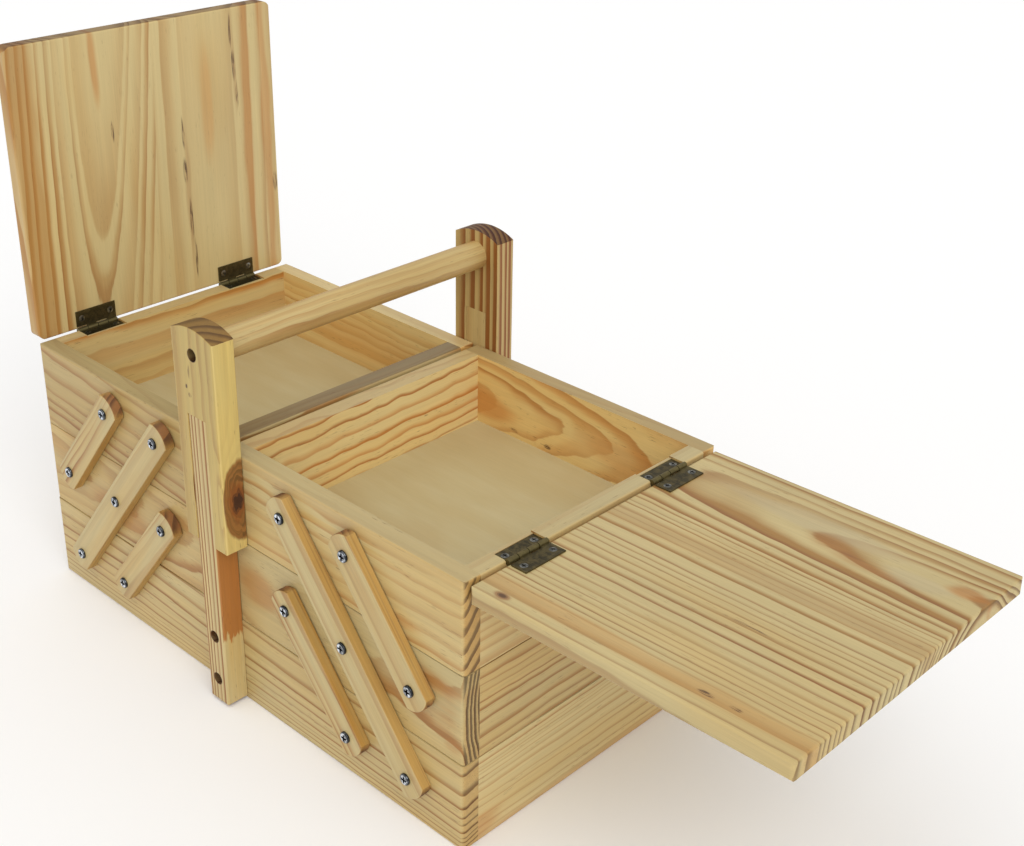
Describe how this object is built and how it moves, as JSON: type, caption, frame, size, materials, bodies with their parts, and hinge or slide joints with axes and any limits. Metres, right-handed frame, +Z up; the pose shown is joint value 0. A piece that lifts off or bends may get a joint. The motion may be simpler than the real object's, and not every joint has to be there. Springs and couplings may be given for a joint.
{
  "type": "cantilever compartment box",
  "caption": "Pine sewing and craft box whose stacked trays swing out on wooden links, with hinged lids and a fixed bar handle.",
  "frame": {"origin": "middle of the underside of the base", "axes": "+X along the box towards the lid that lies open, -Y the front, +Z up"},
  "size_m": [0.6275, 0.2446, 0.3808],
  "materials": {
    "board_pine": "planed pine, clear satin",
    "lid_pine": "planed pine, clear satin",
    "link_pine": "planed pine, clear satin",
    "handle_pine": "planed pine, clear satin",
    "plywood": "smooth plywood, clear satin",
    "zinc_screw": "zinc plated",
    "bronzed_screw": "dull, dark plated",
    "aged_brass": "antique brass, dull"
  },
  "bodies": {
    "base": {"base_front_board": "board_pine", "base_back_board": "board_pine", "base_left_board": "board_pine", "base_right_board": "board_pine", "base_floor": "plywood", "base_pivot_screws": "zinc_screw", "front_lower_post": "handle_pine", "back_lower_post": "handle_pine", "front_upper_post": "handle_pine", "back_upper_post": "handle_pine", "handle_bar": "handle_pine", "handle_screws": "bronzed_screw"},
    "left_long_links": {"left_front_long_link": "link_pine", "left_back_long_link": "link_pine"},
    "left_mid_tray": {"left_mid_tray_front": "board_pine", "left_mid_tray_back": "board_pine", "left_mid_tray_outer": "board_pine", "left_mid_tray_inner": "board_pine", "left_mid_tray_floor": "plywood", "left_mid_pivot_screws": "zinc_screw"},
    "left_top_tray": {"left_top_tray_front": "board_pine", "left_top_tray_back": "board_pine", "left_top_tray_outer": "board_pine", "left_top_tray_inner": "board_pine", "left_top_tray_floor": "plywood", "left_top_pivot_screws": "zinc_screw", "left_hinge_tray_leaves": "aged_brass", "left_hinge_pins": "aged_brass", "left_hinge_tray_screws": "zinc_screw"},
    "left_lower_links": {"left_front_lower_link": "link_pine", "left_back_lower_link": "link_pine"},
    "left_upper_links": {"left_front_upper_link": "link_pine", "left_back_upper_link": "link_pine"},
    "left_lid_body": {"left_lid": "lid_pine", "left_hinge_lid_leaves": "aged_brass", "left_hinge_lid_screws": "zinc_screw"},
    "right_long_links": {"right_front_long_link": "link_pine", "right_back_long_link": "link_pine"},
    "right_mid_tray": {"right_mid_tray_front": "board_pine", "right_mid_tray_back": "board_pine", "right_mid_tray_outer": "board_pine", "right_mid_tray_inner": "board_pine", "right_mid_tray_floor": "plywood", "right_mid_pivot_screws": "zinc_screw"},
    "right_top_tray": {"right_top_tray_front": "board_pine", "right_top_tray_back": "board_pine", "right_top_tray_outer": "board_pine", "right_top_tray_inner": "board_pine", "right_top_tray_floor": "plywood", "right_top_pivot_screws": "zinc_screw", "right_hinge_tray_leaves": "aged_brass", "right_hinge_pins": "aged_brass", "right_hinge_tray_screws": "zinc_screw"},
    "right_lower_links": {"right_front_lower_link": "link_pine", "right_back_lower_link": "link_pine"},
    "right_upper_links": {"right_front_upper_link": "link_pine", "right_back_upper_link": "link_pine"},
    "right_lid_body": {"right_lid": "lid_pine", "right_hinge_lid_leaves": "aged_brass", "right_hinge_lid_screws": "zinc_screw"}
  },
  "joints": [
    {"name": "left_trays_open", "type": "hinge", "parent": "base", "child": "left_long_links", "pos_m": [-0.167, 0, 0.0335], "axis": [0, -1, 0], "range_deg": [0, 78.6]},
    {"name": "left_mid_tray_pivot", "type": "hinge", "parent": "left_long_links", "child": "left_mid_tray", "pos_m": [-0.115, 0, 0.097], "axis": [0, -1, 0], "range_deg": [-78.6, 0]},
    {"name": "left_top_tray_pivot", "type": "hinge", "parent": "left_long_links", "child": "left_top_tray", "pos_m": [-0.063, 0, 0.1605], "axis": [0, -1, 0], "range_deg": [-78.6, 0]},
    {"name": "left_lower_link_pivot", "type": "hinge", "parent": "base", "child": "left_lower_links", "pos_m": [-0.115, 0, 0.0335], "axis": [0, -1, 0], "range_deg": [0, 78.6]},
    {"name": "left_upper_link_pivot", "type": "hinge", "parent": "left_mid_tray", "child": "left_upper_links", "pos_m": [-0.171, 0, 0.097], "axis": [0, -1, 0], "range_deg": [0, 78.6]},
    {"name": "left_lid_hinge", "type": "hinge", "parent": "left_top_tray", "child": "left_lid_body", "pos_m": [-0.2067, 0, 0.1791], "axis": [0, -1, 0], "range_deg": [-90, 89]},
    {"name": "right_trays_open", "type": "hinge", "parent": "base", "child": "right_long_links", "pos_m": [0.167, 0, 0.0335], "axis": [0, 1, 0], "range_deg": [0, 78.6]},
    {"name": "right_mid_tray_pivot", "type": "hinge", "parent": "right_long_links", "child": "right_mid_tray", "pos_m": [0.115, 0, 0.097], "axis": [0, 1, 0], "range_deg": [-78.6, 0]},
    {"name": "right_top_tray_pivot", "type": "hinge", "parent": "right_long_links", "child": "right_top_tray", "pos_m": [0.063, 0, 0.1605], "axis": [0, 1, 0], "range_deg": [-78.6, 0]},
    {"name": "right_lower_link_pivot", "type": "hinge", "parent": "base", "child": "right_lower_links", "pos_m": [0.115, 0, 0.0335], "axis": [0, 1, 0], "range_deg": [0, 78.6]},
    {"name": "right_upper_link_pivot", "type": "hinge", "parent": "right_mid_tray", "child": "right_upper_links", "pos_m": [0.171, 0, 0.097], "axis": [0, 1, 0], "range_deg": [0, 78.6]},
    {"name": "right_lid_hinge", "type": "hinge", "parent": "right_top_tray", "child": "right_lid_body", "pos_m": [0.2067, 0, 0.1791], "axis": [0, 1, 0], "range_deg": [-179, 0]}
  ],
  "couplings": [
    {"joint": "left_mid_tray_pivot", "follows": "left_trays_open", "ratio": -1},
    {"joint": "left_top_tray_pivot", "follows": "left_trays_open", "ratio": -1},
    {"joint": "left_lower_link_pivot", "follows": "left_trays_open", "ratio": 1},
    {"joint": "left_upper_link_pivot", "follows": "left_trays_open", "ratio": 1},
    {"joint": "right_mid_tray_pivot", "follows": "right_trays_open", "ratio": -1},
    {"joint": "right_top_tray_pivot", "follows": "right_trays_open", "ratio": -1},
    {"joint": "right_lower_link_pivot", "follows": "right_trays_open", "ratio": 1},
    {"joint": "right_upper_link_pivot", "follows": "right_trays_open", "ratio": 1}
  ]
}
